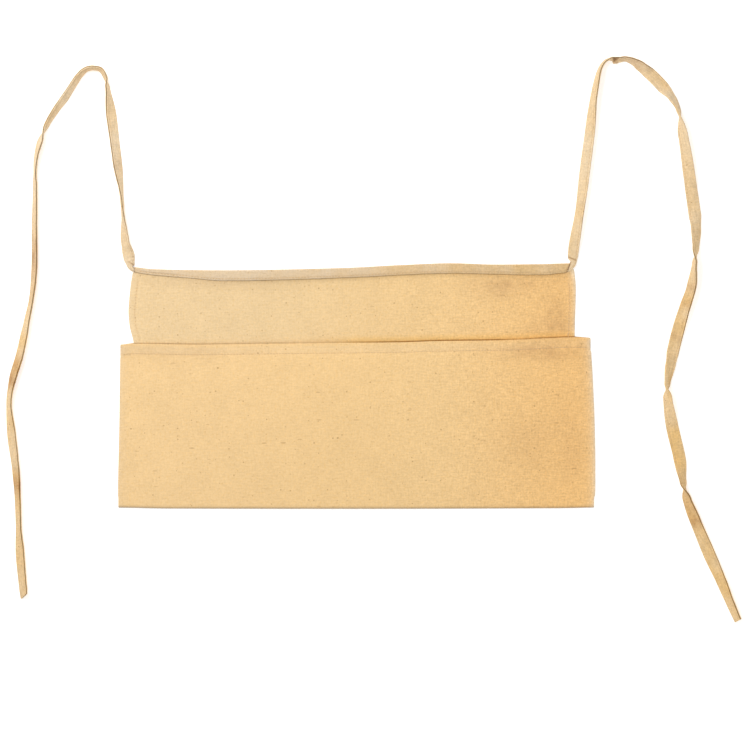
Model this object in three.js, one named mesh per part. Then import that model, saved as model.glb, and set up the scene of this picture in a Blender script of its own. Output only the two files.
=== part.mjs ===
// Carpenter's nail apron of unbleached cotton canvas, lying face up and empty on a flat surface.
// Millimetres, +Z up. The waist is towards +Y, and +X is to the right for someone looking down at the front.
// The origin is on the surface, under the middle of the apron without its two ties.
import * as THREE from 'three';

// Cloth, and the clearance between pieces that seams join
const CLOTH = 1;
const GAP = 0.3;

// The folded strip that makes the waistband and the ties
const TIE_WIDTH = 12.7;
const TIE_THICKNESS = 2.4;
const BAND_SLOT = CLOTH + 2 * GAP;
const BAND_HEIGHT = 2 * CLOTH + BAND_SLOT;

// Hems: the cloth turned under at the panel's sides, and inwards along the pocket's mouth
const SIDE_HEM = 8;
const MOUTH_HEM = 11;
const HEM_THICKNESS = 1.9;
const HEM_SINK = 24;

// The pocket's rim turns down round the body panel's edges
const RIM_CLEARANCE = CLOTH + GAP + 0.1;
const RIM_ROUNDING = 0.9;
const RIM_ROUNDING_REACH = 2.5;

// How the empty pocket gapes: most at this share of its height, and a little less at its mouth
const GAPE = 9.2;
const GAPE_PEAK = 0.7;
const MOUTH_GAPE_SHARE = 0.7;
const GAPE_LEAN = 1.3;
const GAPE_FULLNESS = 0.6;
const GAPE_RISE = 1.2;

// Rows of numbers with a name for each column
function table(columns, rows) {
  return rows.map((row) => Object.fromEntries(columns.map((column, i) => [column, row[i]])));
}

// The apron's side edges at the pocket, from the bottom fold up to the mouth
const POCKET_SIDES = table(['y', 'left', 'right'], [
  [-125, -240.8, 239.8],
  [-122, -242, 241],
  [-109, -242, 242],
  [-85, -241.6, 242],
  [-59, -241, 241.6],
  [-37, -240.6, 241.1],
  [6, -240.1, 239.2],
  [50, -239.6, 237],
]);

// The side edges of the narrower panel above the mouth
const PANEL_SIDES = table(['y', 'left', 'right'], [
  [42, -226, 221],
  [62, -230.4, 221.3],
  [74, -231.4, 221.8],
  [90, -230.2, 222.2],
  [107, -227.8, 220.8],
  [116, -225.2, 218.2],
  [124, -222.5, 216],
]);

const BOTTOM_FOLD = table(['x', 'y'], [
  [-242, -123.3],
  [-189, -124.2],
  [-7, -124.5],
  [206, -123.8],
  [242, -123.2],
]);

const MOUTH = table(['x', 'y'], [
  [-242, 42],
  [-226, 43],
  [-159, 42],
  [-136, 42.3],
  [-7, 43.8],
  [44, 44.3],
  [80, 45.5],
  [150, 46.5],
  [196, 48.7],
  [220, 49.5],
  [242, 49],
]);

// The waistband's edges from its left end to its right one. It sags at the left and narrows into the ties.
const BAND = table(['x', 'bottom', 'top'], [
  [-225.4, 115.4, 120.6],
  [-219.7, 114.2, 120],
  [-206.6, 112.4, 118.6],
  [-164, 108.9, 117.6],
  [-136, 106.6, 117.4],
  [-17, 109.5, 119.6],
  [46, 112.5, 122.7],
  [95, 114.2, 124.5],
  [141, 113.3, 123.2],
  [186, 112.6, 123.6],
  [206, 114.2, 124.2],
  [215, 115.2, 124.4],
  [221.4, 119.6, 124.4],
]);

// Each tie's route from the waistband to its end. Roll turns the strip about its own length, in degrees: its open edge
// is to the left of the route at 0, up at 90 and to the right at 180, and it goes on past that where the strip twists
// further. Fold is how far the strip is doubled over lengthwise.
const TIE_COLUMNS = ['x', 'y', 'roll', 'fold'];

const TIE_LEFT = table(TIE_COLUMNS, [
  [-225.7, 118, 180, 1],
  [-228, 119, 180, 1],
  [-229.2, 122.6, 176, 0.7],
  [-231.6, 133, 155, 0.2],
  [-235, 146, 122, 0],
  [-238.3, 186, 88, 0],
  [-243.2, 229, 54, 0],
  [-248.5, 273, 48, 0],
  [-252.5, 302, 79, 0],
  [-254.8, 313, 102, 0],
  [-259.4, 320.4, 103, 0],
  [-266, 322, 102, 0],
  [-273, 321, 104, 0],
  [-279.6, 315.6, 110, 0],
  [-286.6, 305.6, 114, 0],
  [-295.2, 292.4, 119, 0],
  [-304.5, 280, 113, 0],
  [-313.6, 265, 105, 0],
  [-320.7, 246.5, 70, 0],
  [-324, 231, 77, 0],
  [-325, 216, 83, 0],
  [-325, 201, 77, 0],
  [-325.8, 163, 71, 0],
  [-326.3, 117, 71, 0],
  [-328.8, 88, 75, 0],
  [-333.7, 64, 69, 0],
  [-336.8, 50, 62, 0],
  [-341.8, 29, 62, 0],
  [-347.3, 11, 62, 0],
  [-350.6, -6, 70, 0],
  [-351.6, -18, 72, 0],
  [-349, -53.5, 54, 0],
  [-345.3, -84, 63, 0],
  [-343.2, -111, 70, 0],
  [-342, -140, 70, 0],
  [-340.4, -171, 54, 0],
  [-337.6, -206, 60, 0],
  [-336.8, -215.5, 65, 0],
]);

const TIE_RIGHT = table(TIE_COLUMNS, [
  [218.3, 124.8, 180, 0.2],
  [218.8, 132, 160, 0.1],
  [225.2, 173.4, 129, 0],
  [231.3, 220, 142, 0],
  [236.2, 257.5, 138, 0],
  [240.7, 295, 114, 0],
  [247, 322, 102, 0],
  [252.6, 329.8, 98, 0],
  [259, 331, 66, 0.2],
  [266, 331, 62, 0.3],
  [273, 331, 67, 0],
  [280.5, 329, 62, 0],
  [288.6, 323.7, 48, 0],
  [303, 311, 10, 0],
  [319.2, 292, -62, 0],
  [325.5, 280.4, -77, 0],
  [331, 253.5, -128, 0],
  [337.5, 211, -150, 0],
  [341.7, 182.4, -182, 0],
  [344.4, 160, -227, 0],
  [344.3, 140, -247, 0],
  [342.9, 124.5, -283, 0],
  [339.5, 99.6, -309, 0],
  [333.2, 79.8, -319, 0],
  [324.3, 50, -338, 0],
  [318, 22.5, -403, 0],
  [314.3, 3, -431, 0],
  [314.9, -13, -484, 0],
  [320.6, -44, -520, 0],
  [327, -71, -560, 0],
  [331.3, -96, -605, 0],
  [335.5, -114.7, -662, 0],
  [343, -134.8, -676, 0],
  [357, -169.3, -687, 0],
  [369.8, -197.8, -673, 0],
  [379, -219.6, -660, 0],
  [387.3, -238.2, -655, 0],
]);

// How finely each piece is divided
const BODY_EDGE_STEPS = [0, 1, SIDE_HEM, SIDE_HEM + 0.1, SIDE_HEM + 12];
const POCKET_EDGE_STEPS = [0, 0.35, CLOTH, CLOTH + 0.05, 3.5, 14];
const MIDDLE_COLUMNS = 18;
const BODY_ROWS = 7;
const POCKET_ROWS = 8;
const PANEL_ROW_SHARES = [0.015, 0.12, 0.3, 0.5, 0.68, 0.8, 0.9];
const BAND_STATION = 22;
const TIE_STEPS = 78;

const canvas = { color: 0xeed09a, roughness: 0.92, metalness: 0 };
const stripCanvas = { color: 0xe4c79c, roughness: 0.92, metalness: 0 };

function smoothstep(from, to, value) {
  const t = THREE.MathUtils.clamp((value - from) / (to - from), 0, 1);
  return t * t * (3 - 2 * t);
}

// A column of a table at any place along another, by a curve that keeps within its neighbouring rows
function read(rows, along, at, column) {
  const last = rows.length - 1;
  if (at <= rows[0][along]) return rows[0][column];
  if (at >= rows[last][along]) return rows[last][column];
  const i = rows.findIndex((row) => row[along] > at) - 1;
  const slope = (a, b) => (rows[b][column] - rows[a][column]) / (rows[b][along] - rows[a][along]);
  const tangent = (k) => {
    if (k === 0 || k === last) return 0;
    const before = slope(k - 1, k);
    const after = slope(k, k + 1);
    return before * after <= 0 ? 0 : (2 * before * after) / (before + after);
  };
  const span = rows[i + 1][along] - rows[i][along];
  const t = (at - rows[i][along]) / span;
  const start = 2 * t ** 3 - 3 * t ** 2 + 1;
  const leave = t ** 3 - 2 * t ** 2 + t;
  const arrive = t ** 3 - t ** 2;
  return start * rows[i][column] + (1 - start) * rows[i + 1][column]
    + span * (leave * tangent(i) + arrive * tangent(i + 1));
}

// Places from one edge to the other: close steps at both edges and even ones between them
function spread(edgeSteps, middle, from, to) {
  const inner = edgeSteps[edgeSteps.length - 1];
  const places = edgeSteps.map((step) => from + step);
  for (let i = 1; i < middle; i++) {
    places.push(THREE.MathUtils.lerp(from + inner, to - inner, i / middle));
  }
  return places.concat(edgeSteps.map((step) => to - step).reverse());
}

function solid(name, finish, positions, triangles) {
  const geometry = new THREE.BufferGeometry();
  geometry.setAttribute('position', new THREE.Float32BufferAttribute(positions, 3));
  geometry.setIndex(triangles);
  geometry.computeVertexNormals();
  const mesh = new THREE.Mesh(geometry, new THREE.MeshStandardMaterial(finish));
  mesh.name = name;
  return mesh;
}

// A closed sheet of cloth from a grid of points, each with a low and a high side: rows upwards, columns to the right
function sheetSolid(name, finish, grid) {
  const rows = grid.length;
  const columns = grid[0].length;
  const positions = [];
  const triangles = [];
  for (const side of ['low', 'high']) {
    for (const row of grid) {
      for (const point of row) positions.push(point.x, point.y, point[side]);
    }
  }
  const high = rows * columns;
  const quad = (a, b, c, d) => triangles.push(a, b, c, a, c, d);
  for (let r = 0; r + 1 < rows; r++) {
    for (let c = 0; c + 1 < columns; c++) {
      const at = r * columns + c;
      quad(high + at, high + at + 1, high + at + columns + 1, high + at + columns);
      quad(at, at + columns, at + columns + 1, at + 1);
    }
  }
  const wall = (a, b) => quad(a, b, high + b, high + a);
  for (let c = 0; c + 1 < columns; c++) {
    wall(c, c + 1);
    wall((rows - 1) * columns + c + 1, (rows - 1) * columns + c);
  }
  for (let r = 0; r + 1 < rows; r++) {
    wall((r + 1) * columns, r * columns);
    wall(r * columns + columns - 1, (r + 1) * columns + columns - 1);
  }
  return solid(name, finish, positions, triangles);
}

// A closed solid through rings of matching points, its two ends filled in from the shape of one ring
function ringSolid(name, finish, rings, shape) {
  const sides = rings[0].length;
  const positions = rings.flat().flatMap((point) => [point.x, point.y, point.z]);
  const triangles = [];
  for (let r = 0; r + 1 < rings.length; r++) {
    for (let s = 0; s < sides; s++) {
      const a = r * sides + s;
      const b = r * sides + ((s + 1) % sides);
      triangles.push(a, b, b + sides, a, b + sides, a + sides);
    }
  }
  const end = (rings.length - 1) * sides;
  for (const [a, b, c] of THREE.ShapeUtils.triangulateShape(shape, [])) {
    triangles.push(a, c, b, end + a, end + b, end + c);
  }
  return solid(name, finish, positions, triangles);
}

const foldAt = (x) => read(BOTTOM_FOLD, 'x', x, 'y');
const mouthAt = (x) => read(MOUTH, 'x', x, 'y');
const bandAt = (x, edge) => read(BAND, 'x', x, edge);
const evenShares = (count) => Array.from({ length: count + 1 }, (_, i) => i / count);

// A row of a sheet at the height yAt, from one side edge to the other and drawn in by inset at both
function sheetRow(sides, yAt, steps, inset, pointAt) {
  const left = read(sides, 'y', yAt(sides[0].left), 'left') + inset;
  const right = read(sides, 'y', yAt(sides[0].right), 'right') - inset;
  return spread(steps, MIDDLE_COLUMNS, left, right).map((x) => {
    const y = yAt(x);
    const fromSide = Math.min(x - left, right - x);
    return { x, y, ...pointAt({ x, y, fromSide, across: (x - left) / (right - left) }) };
  });
}

// The back cloth: full width behind the pocket, narrower and hemmed above the mouth, and bound at its top edge
function bodyPanel() {
  const { lerp } = THREE.MathUtils;
  const behindPocket = (share) => sheetRow(
    POCKET_SIDES,
    (x) => lerp(foldAt(x) + RIM_CLEARANCE, mouthAt(x), share),
    BODY_EDGE_STEPS,
    RIM_CLEARANCE,
    () => ({ low: 0, high: CLOTH }),
  );

  // Above the mouth the cloth lies on its side hems, sinks between them and rises into the waistband
  const lifted = CLOTH + GAP;
  const aboveMouth = (yAt, hemmed, lift) => sheetRow(PANEL_SIDES, yAt, BODY_EDGE_STEPS, 0, ({ fromSide }) => {
    const onHem = fromSide <= SIDE_HEM;
    const sink = onHem ? 1 : Math.exp((SIDE_HEM - fromSide) / HEM_SINK);
    const high = CLOTH + Math.max((HEM_THICKNESS - CLOTH) * hemmed * sink, lift * lifted);
    return { low: onHem ? lift * lifted : high - CLOTH, high };
  });
  const bandMouth = (x) => bandAt(x, 'bottom') - 1;
  const topEdge = (x) => bandAt(x, 'top') - RIM_CLEARANCE;

  return sheetSolid('body_panel', canvas, [
    ...evenShares(BODY_ROWS).map(behindPocket),
    ...PANEL_ROW_SHARES.map((share) => aboveMouth(
      (x) => lerp(mouthAt(x), bandMouth(x), share), smoothstep(1, 0.8, share), smoothstep(0.8, 1, share))),
    aboveMouth(bandMouth, 0, 1),
    aboveMouth(topEdge, 0, 1),
  ]);
}

// How far the pocket's front stands off the cloth behind it, by its shares of the width and of the height
function gapeAt(across, up) {
  const sideways = Math.sin(Math.PI * across ** GAPE_LEAN) ** GAPE_FULLNESS;
  const upwards = up < GAPE_PEAK
    ? Math.sin((Math.PI / 2) * (up / GAPE_PEAK)) ** GAPE_RISE
    : 1 - (1 - MOUTH_GAPE_SHARE) * ((up - GAPE_PEAK) / (1 - GAPE_PEAK)) ** 2;
  return GAPE * sideways * upwards;
}

// The pocket's front: a shallow shell whose sides and bottom turn down round the back cloth, open along the mouth
function pocketPanel() {
  const inner = POCKET_EDGE_STEPS[POCKET_EDGE_STEPS.length - 1];
  const rowHeights = [
    ...POCKET_EDGE_STEPS.map((step) => (x) => foldAt(x) + step),
    ...evenShares(POCKET_ROWS).slice(1).map((share) => (x) => THREE.MathUtils.lerp(
      foldAt(x) + inner, mouthAt(x) - MOUTH_HEM, share)),
    ...[MOUTH_HEM - 0.1, MOUTH_HEM / 2, 0].map((below) => (x) => mouthAt(x) - below),
  ];
  const rows = rowHeights.map((yAt) => sheetRow(POCKET_SIDES, yAt, POCKET_EDGE_STEPS, 0,
    ({ x, y, fromSide, across }) => {
      const up = (y - foldAt(x)) / (mouthAt(x) - foldAt(x));
      const fromRim = Math.min(fromSide, y - foldAt(x));
      const under = CLOTH + GAP + gapeAt(across, THREE.MathUtils.clamp(up, 0, 1));
      const onRim = fromRim < CLOTH + 0.02;
      const onHem = mouthAt(x) - y < MOUTH_HEM - 0.05;
      const hem = onHem ? (HEM_THICKNESS - CLOTH) * smoothstep(0, MOUTH_HEM, fromSide) : 0;
      return {
        low: onRim ? 0 : under - Math.min(hem, under - CLOTH - GAP),
        high: under + CLOTH - RIM_ROUNDING * smoothstep(RIM_ROUNDING_REACH, 0, fromRim),
      };
    }));
  return sheetSolid('pocket_panel', canvas, rows);
}

// The strip folded over the body panel's top edge, open towards the apron
function waistband() {
  const round = 0.5 * CLOTH;
  const section = (x) => {
    const bottom = bandAt(x, 'bottom');
    const top = bandAt(x, 'top');
    return [
      [bottom, 0],
      [top - round, 0],
      [top, round],
      [top, BAND_HEIGHT - round],
      [top - round, BAND_HEIGHT],
      [bottom + round, BAND_HEIGHT],
      [bottom, BAND_HEIGHT - round],
      [bottom, CLOTH + BAND_SLOT],
      [top - CLOTH, CLOTH + BAND_SLOT],
      [top - CLOTH, CLOTH],
      [bottom, CLOTH],
    ].map(([y, z]) => new THREE.Vector3(x, y, z));
  };
  const stations = [BAND[0].x];
  for (let i = 1; i < BAND.length; i++) {
    const before = BAND[i - 1].x;
    const pieces = Math.ceil((BAND[i].x - before) / BAND_STATION);
    for (let k = 1; k <= pieces; k++) stations.push(THREE.MathUtils.lerp(before, BAND[i].x, k / pieces));
  }
  const end = section(BAND[0].x).map((point) => new THREE.Vector2(point.y, point.z));
  return ringSolid('waistband', stripCanvas, stations.map(section), end);
}

// The strip's section, with its corners cut off, across and through its thickness
function stripSection(width, thickness) {
  const w = width / 2;
  const t = thickness / 2;
  const cut = 0.6 * t;
  return [
    [w - cut, -t], [w, cut - t], [w, t - cut], [w - cut, t],
    [cut - w, t], [-w, t - cut], [-w, cut - t], [cut - w, -t],
  ].map(([across, through]) => new THREE.Vector2(across, through));
}

// A tie: the strip along its route, rolled and folded as its table says, with its lowest edge on the surface.
// Its first section faces the waistband squarely.
function tie(name, rows, leaving) {
  const points = rows.map((row) => new THREE.Vector3(row.x, row.y, 0));
  const route = new THREE.CatmullRomCurve3(points, false, 'centripetal');
  const up = new THREE.Vector3(0, 0, 1);
  const rings = [];
  for (let step = 0; step <= TIE_STEPS; step++) {
    const t = route.getUtoTmapping(step / TIE_STEPS);
    const i = Math.min(Math.floor(t * (rows.length - 1)), rows.length - 2);
    const blend = smoothstep(0, 1, t * (rows.length - 1) - i);
    const mix = (column) => THREE.MathUtils.lerp(rows[i][column], rows[i + 1][column], blend);
    const centre = route.getPoint(t);
    const forward = step === 0 ? leaving : route.getTangent(t);
    const across = new THREE.Vector3().crossVectors(up, forward);
    across.applyAxisAngle(forward, THREE.MathUtils.degToRad(mix('roll')));
    const through = new THREE.Vector3().crossVectors(forward, across);
    const ring = stripSection(TIE_WIDTH * (1 - 0.5 * mix('fold')), TIE_THICKNESS * (1 + 0.45 * mix('fold')))
      .map((point) => centre.clone().addScaledVector(across, point.x).addScaledVector(through, point.y));
    const lowest = Math.min(...ring.map((point) => point.z));
    for (const point of ring) point.z -= lowest;
    rings.push(ring);
  }
  return ringSolid(name, stripCanvas, rings, stripSection(TIE_WIDTH, TIE_THICKNESS));
}

const apron = new THREE.Group();
apron.add(
  bodyPanel(),
  pocketPanel(),
  waistband(),
  tie('tie_left', TIE_LEFT, new THREE.Vector3(-1, 0, 0)),
  tie('tie_right', TIE_RIGHT, new THREE.Vector3(0, 1, 0)),
);

export default apron;
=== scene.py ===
"""Carpenter's nail apron of unbleached canvas, lying face up and empty, seen from straight above.

Metres, +Z up. The waist is towards +Y and the origin is on the floor under the middle of the apron.
"""
import math

import bpy
import numpy as np
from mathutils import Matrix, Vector


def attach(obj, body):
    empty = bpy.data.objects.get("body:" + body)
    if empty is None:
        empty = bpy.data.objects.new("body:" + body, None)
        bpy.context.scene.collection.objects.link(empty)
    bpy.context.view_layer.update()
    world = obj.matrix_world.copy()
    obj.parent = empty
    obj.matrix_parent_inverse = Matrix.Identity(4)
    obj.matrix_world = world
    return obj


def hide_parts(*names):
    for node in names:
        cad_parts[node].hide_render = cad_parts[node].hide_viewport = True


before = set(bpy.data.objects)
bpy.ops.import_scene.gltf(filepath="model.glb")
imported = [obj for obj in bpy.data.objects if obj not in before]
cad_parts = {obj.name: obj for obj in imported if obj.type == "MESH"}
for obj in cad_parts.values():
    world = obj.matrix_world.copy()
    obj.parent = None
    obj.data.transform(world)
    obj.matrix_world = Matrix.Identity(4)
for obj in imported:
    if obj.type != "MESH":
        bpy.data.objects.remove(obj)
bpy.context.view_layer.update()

MM = 0.001

# The photograph's frame: how much its 750 pixels cover, and the point straight under the camera
PHOTO_SPAN = 0.7605
PHOTO_CENTRE = (0.0186, 0.01115)
CAMERA_HEIGHT = 10.0
SENSOR = 36.0

# Cloth and seams
CLOTH = 0.8 * MM
CAD_CLOTH = 1.0 * MM
CAD_GAP = 0.3 * MM
POCKET_MIDDLE = CAD_CLOTH + CAD_GAP + CAD_CLOTH / 2
SIDE_HEM = 8 * MM
MOUTH_HEM = 11 * MM
HEM_RISE = 0.9 * MM
HEM_SINK = 24 * MM
HEM_THICKENING = 0.18 * MM
RIM_CLEARANCE = 1.4 * MM

# How the empty pocket gapes
GAPE = 9.2 * MM
GAPE_PEAK = 0.7
MOUTH_GAPE_SHARE = 0.7
GAPE_LEAN = 1.3
GAPE_FULLNESS = 0.6
GAPE_RISE = 1.2
LIP_DIP = 0.5
LIP_REACH = 16 * MM

# The folded strip of the waistband and the ties
STRIP_WIDTH = 12.7 * MM
STRIP_THICKNESS = 2.4 * MM
STRIP_SLIT = 4.2 * MM
STRIP_GAPE = 0.27 * MM
STRIP_STITCH_INSET = 2.4 * MM
FOLD_ANGLE = 1.3
BAND_SLOT = CAD_CLOTH + 2 * CAD_GAP

# Thread
THREAD = 0.24 * MM
STITCH = 2.5 * MM
STITCH_PITCH = 3.1 * MM


# The columns that are no lengths. All others are written in millimetres.
PLAIN_COLUMNS = ("roll", "fold", "share", "strength", "line", "warmth")


def table(names, rows):
    """Rows of numbers as one array for each named column, with its lengths in metres."""
    columns = zip(names.split(), np.array(rows, float).T)
    return {name: values * (1 if name in PLAIN_COLUMNS else MM) for name, values in columns}


# The apron's side edges at the pocket, from the bottom fold up to the mouth
POCKET_SIDES = table("y left right", [
    (-125, -240.8, 239.8),
    (-122, -242, 241),
    (-109, -242, 242),
    (-85, -241.6, 242),
    (-59, -241, 241.6),
    (-37, -240.6, 241.1),
    (6, -240.1, 239.2),
    (50, -239.6, 237),
])

# The side edges of the narrower panel above the mouth
PANEL_SIDES = table("y left right", [
    (42, -226, 221),
    (62, -230.4, 221.3),
    (74, -231.4, 221.8),
    (90, -230.2, 222.2),
    (107, -227.8, 220.8),
    (116, -225.2, 218.2),
    (124, -222.5, 216),
])

BOTTOM_FOLD = table("x y", [
    (-242, -123.3),
    (-189, -124.2),
    (-7, -124.5),
    (206, -123.8),
    (242, -123.2),
])

MOUTH = table("x y", [
    (-242, 42),
    (-226, 43),
    (-159, 42),
    (-136, 42.3),
    (-7, 43.8),
    (44, 44.3),
    (80, 45.5),
    (150, 46.5),
    (196, 48.7),
    (220, 49.5),
    (242, 49),
])

# The waistband's lower and upper edges
BAND = table("x bottom top", [
    (-225.4, 115.4, 120.6),
    (-219.7, 114.2, 120),
    (-206.6, 112.4, 118.6),
    (-164, 108.9, 117.6),
    (-136, 106.6, 117.4),
    (-17, 109.5, 119.6),
    (46, 112.5, 122.7),
    (95, 114.2, 124.5),
    (141, 113.3, 123.2),
    (186, 112.6, 123.6),
    (206, 114.2, 124.2),
    (215, 115.2, 124.4),
    (221.4, 119.6, 124.4),
])

# Each tie's route from the waistband to its end. Roll turns the strip about its own length, in degrees:
# its open edge is to the left of the route at 0, up at 90 and to the right at 180. Fold is how far the
# strip is doubled over lengthwise.
TIE_COLUMNS = "x y roll fold"

TIE_LEFT = table(TIE_COLUMNS, [
    (-225.7, 118, 180, 1),
    (-228, 119, 180, 1),
    (-229.2, 122.6, 176, 0.7),
    (-231.6, 133, 155, 0.2),
    (-235, 146, 122, 0),
    (-238.3, 186, 88, 0),
    (-243.2, 229, 54, 0),
    (-248.5, 273, 48, 0),
    (-252.5, 302, 79, 0),
    (-254.8, 313, 102, 0),
    (-259.4, 320.4, 103, 0),
    (-266, 322, 102, 0),
    (-273, 321, 104, 0),
    (-279.6, 315.6, 110, 0),
    (-286.6, 305.6, 114, 0),
    (-295.2, 292.4, 119, 0),
    (-304.5, 280, 113, 0),
    (-313.6, 265, 105, 0),
    (-320.7, 246.5, 70, 0),
    (-324, 231, 77, 0),
    (-325, 216, 83, 0),
    (-325, 201, 77, 0),
    (-325.8, 163, 71, 0),
    (-326.3, 117, 71, 0),
    (-328.8, 88, 75, 0),
    (-333.7, 64, 69, 0),
    (-336.8, 50, 62, 0),
    (-341.8, 29, 62, 0),
    (-347.3, 11, 62, 0),
    (-350.6, -6, 70, 0),
    (-351.6, -18, 72, 0),
    (-349, -53.5, 54, 0),
    (-345.3, -84, 63, 0),
    (-343.2, -111, 70, 0),
    (-342, -140, 70, 0),
    (-340.4, -171, 54, 0),
    (-337.6, -206, 60, 0),
    (-336.8, -215.5, 65, 0),
])

TIE_RIGHT = table(TIE_COLUMNS, [
    (208.5, 119, 180, 0),
    (214, 120, 180, 0),
    (218, 122.2, 180, 0),
    (219.9, 126.2, 175, 0),
    (219.3, 131, 165, 0),
    (219.9, 138, 158, 0),
    (225.2, 173.4, 129, 0),
    (231.3, 220, 142, 0),
    (236.2, 257.5, 138, 0),
    (240.7, 295, 114, 0),
    (247, 322, 102, 0),
    (252.6, 329.8, 98, 0),
    (258.5, 332.2, 80, 0.1),
    (262, 332, 40, 0.7),
    (266, 332.2, 62, 0.3),
    (273, 331.6, 67, 0),
    (280.5, 329, 62, 0),
    (288.6, 323.7, 48, 0),
    (303, 311, 10, 0),
    (319.2, 292, -62, 0),
    (325.5, 280.4, -77, 0),
    (331, 253.5, -128, 0),
    (337.5, 211, -150, 0),
    (341.7, 182.4, -182, 0),
    (344.4, 160, -227, 0),
    (344.3, 140, -247, 0),
    (342.9, 124.5, -283, 0),
    (339.5, 99.6, -309, 0),
    (333.2, 79.8, -319, 0),
    (324.3, 50, -338, 0),
    (318, 22.5, -403, 0),
    (314.3, 3, -431, 0),
    (314.9, -13, -484, 0),
    (320.6, -44, -520, 0),
    (327, -71, -560, 0),
    (331.3, -96, -605, 0),
    (335.5, -114.7, -662, 0),
    (343, -134.8, -676, 0),
    (357, -169.3, -687, 0),
    (369.8, -197.8, -673, 0),
    (379, -219.6, -660, 0),
    (387.3, -238.2, -655, 0),
])

# How wide each tie's strip is along its length, as a share of its full width: it is gathered at the
# corners of the band and in the right tie's pleat
GATHER_LEFT = table("along share", [
    (0, 0.9),
    (10, 1),
    (700, 1),
])

GATHER_RIGHT = table("along share", [
    (0, 0.74),
    (5.5, 0.7),
    (9.8, 0.52),
    (14.5, 0.52),
    (19, 0.84),
    (30, 0.88),
    (100, 0.95),
    (207, 0.9),
    (218, 0.62),
    (224.5, 0.55),
    (227.5, 0.7),
    (231.5, 0.84),
    (236.5, 0.7),
    (242, 0.66),
    (250, 0.82),
    (260, 1),
    (700, 1),
])

# Sharp creases at the band's corners and in the right tie's pleat, with painted shade along them: from one
# end to the other, and how deep
CREASES = table("x y to_x to_y depth", [
    (214.9, 130.6, 222.2, 127.6, 0.6),
    (217.1, 125.6, 213.3, 116.1, 0.4),
    (-230.3, 125.7, -226.8, 123.2, 0.6),
    (-226.8, 123.2, -225.5, 119.5, 0.4),
    (260.2, 332, 265.5, 332.4, 1.2),
])
CREASE_REACH = 0.7 * MM

# Stains on the ties, and painted shade in the opening of the right tie's pleat: where along the tie, how far
# each way, and how strong
STAIN_AND_SHADE_COLUMNS = "along reach strength"

STAINS_LEFT = table(STAIN_AND_SHADE_COLUMNS, [
    (108, 8, 0.25),
    (413, 12, 0.35),
    (428, 13, 0.8),
    (455, 20, 0.3),
    (541, 13, 0.7),
    (556, 8, 0.8),
    (661, 13, 0.8),
])

STAINS_AND_SHADE_RIGHT = table(STAIN_AND_SHADE_COLUMNS, [
    # Painted shade in the opening of the right tie's pleat
    (232.5, 2.5, 0.4),
    (253, 12, 0.4),
    (500, 6, 0.4),
    (519, 6, 0.35),
    (553, 5, 0.3),
    (725, 22, 0.45),
    (745, 6, 0.5),
])

# Greyish-brown darker patches on the canvas, soft at their edges
DARKER_PATCHES = table("x y wide high strength", [
    (190, 34, 45, 8, 0.75),
    (205, 70, 16, 20, 0.6),
    (150, 98, 30, 9, 0.5),
    (-170, 33, 60, 8, 0.3),
    (180, -55, 30, 30, 0.3),
    (-140, 105, 70, 6, 0.35),
    (200, 60, 30, 12, 0.4),
    (165, 105, 50, 5, 0.35),
    (220, -60, 15, 45, 0.25),
])

# The darkest seed flecks
FLECKS = table("x y radius strength", [
    (-140.6, 18.3, 1.1, 0.7),
    (-161.9, -25.4, 0.9, 0.45),
    (-206.5, -110.5, 0.9, 0.65),
    (164, 35.5, 1.3, 0.5),
    (-0.5, 43.3, 0.8, 0.5),
    (-174.5, 24.5, 0.9, 0.4),
    (177.5, -45.5, 1, 0.4),
    (-181.5, 73.5, 0.8, 0.35),
])


def ease(start, end, value):
    """A smooth step from 0 where the value is at the start to 1 where it is at the end."""
    t = np.clip((value - start) / (end - start), 0, 1)
    return t * t * (3 - 2 * t)


def bell(away, reach):
    return np.exp(-((away / reach) ** 2))


def fade(away, reach):
    return np.exp(-np.clip(away, 0, None) / reach)


def read(rows, along, at, name):
    """A column of a table at any place along another, on a curve that keeps between neighbouring rows."""
    x, y = rows[along], rows[name]
    at = np.clip(at, x[0], x[-1])
    i = np.clip(np.searchsorted(x, at, side="right") - 1, 0, len(x) - 2)
    slope = np.diff(y) / np.diff(x)
    product = slope[:-1] * slope[1:]
    total = np.where(product > 0, slope[:-1] + slope[1:], 1)
    tangent = np.concatenate([[0], np.where(product > 0, 2 * product / total, 0), [0]])
    span = x[i + 1] - x[i]
    t = (at - x[i]) / span
    start = 2 * t**3 - 3 * t**2 + 1
    lean = (t**3 - 2 * t**2 + t) * tangent[i] + (t**3 - t**2) * tangent[i + 1]
    return start * y[i] + (1 - start) * y[i + 1] + span * lean


LATTICE = 64


def cloud(x, y, size, seed):
    """Smooth noise from -1 to 1 with features of about the given size, the same on every run."""
    lattice = np.random.RandomState(seed).uniform(-1, 1, (LATTICE, LATTICE))
    u, v = np.asarray(x) / size + 20.3, np.asarray(y) / size + 20.7
    i, j = np.floor(u).astype(int), np.floor(v).astype(int)
    a, b = u - i, v - j
    a, b = a * a * (3 - 2 * a), b * b * (3 - 2 * b)
    pick = lambda di, dj: lattice[(i + di) % LATTICE, (j + dj) % LATTICE]
    low = pick(0, 0) * (1 - a) + pick(1, 0) * a
    high = pick(0, 1) * (1 - a) + pick(1, 1) * a
    return low * (1 - b) + high * b


def sides_at(rows, y):
    return read(rows, "y", y, "left"), read(rows, "y", y, "right")


def fold_at(x):
    return read(BOTTOM_FOLD, "x", x, "y")


def mouth_at(x):
    return read(MOUTH, "x", x, "y")


def band_at(x, edge):
    return read(BAND, "x", x, edge)


# Meshes

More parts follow.
